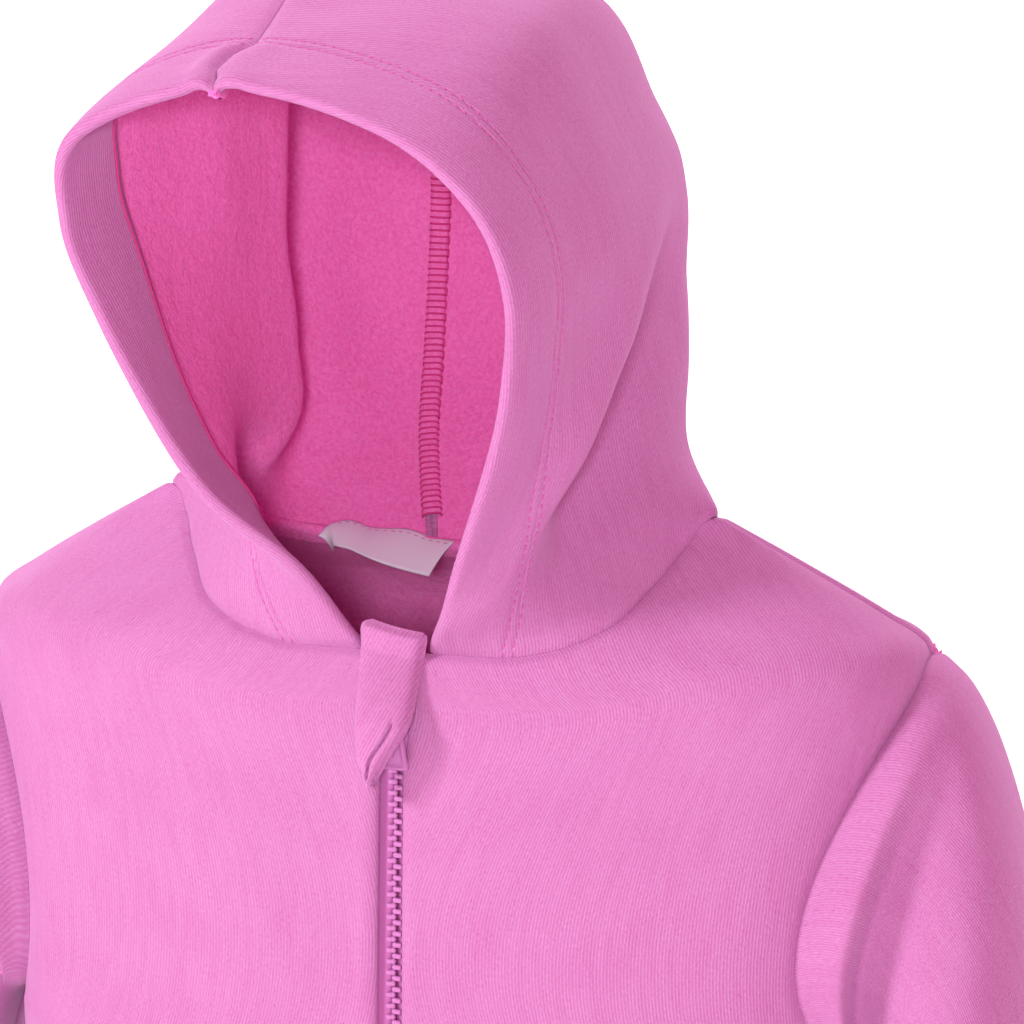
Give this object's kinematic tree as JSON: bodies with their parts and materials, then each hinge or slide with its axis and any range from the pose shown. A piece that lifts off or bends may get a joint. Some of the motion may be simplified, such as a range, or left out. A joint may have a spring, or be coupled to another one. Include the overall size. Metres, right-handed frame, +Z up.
{
  "type": "toddler hoodie",
  "caption": "Toddler's zip hoodie, filled out as if worn with nobody in it, hood up and open towards its right, set-in sleeves, chin guard at the zip's top and a bare neck label.",
  "frame": {"origin": "midway between the two neck points, where the shoulder seams meet the hood", "axes": "+Z up, front towards -Y, the wearer's left towards +X"},
  "size_m": [0.396, 0.156, 0.5242],
  "materials": {
    "cloth": "brushed-back jersey, matt outside, napped inside",
    "zip": "moulded plastic on woven tape",
    "label": "white satin"
  },
  "bodies": {
    "garment": {"front_left": "cloth", "front_right": "cloth", "back": "cloth", "sleeve_left": "cloth", "sleeve_right": "cloth", "hood_left": "cloth", "hood_right": "cloth", "chin_guard": "cloth", "zip_tape_left": "zip", "zip_tape_right": "zip", "zip_slider": "zip", "neck_label": "label"},
    "pull_tab": {"zip_pull": "zip"}
  },
  "joints": [
    {"name": "pull_swing", "type": "hinge", "parent": "garment", "child": "pull_tab", "pos_m": [0.0012, -0.04949, -0.054], "axis": [-1, 0, 0], "range_deg": [0, 6]}
  ]
}
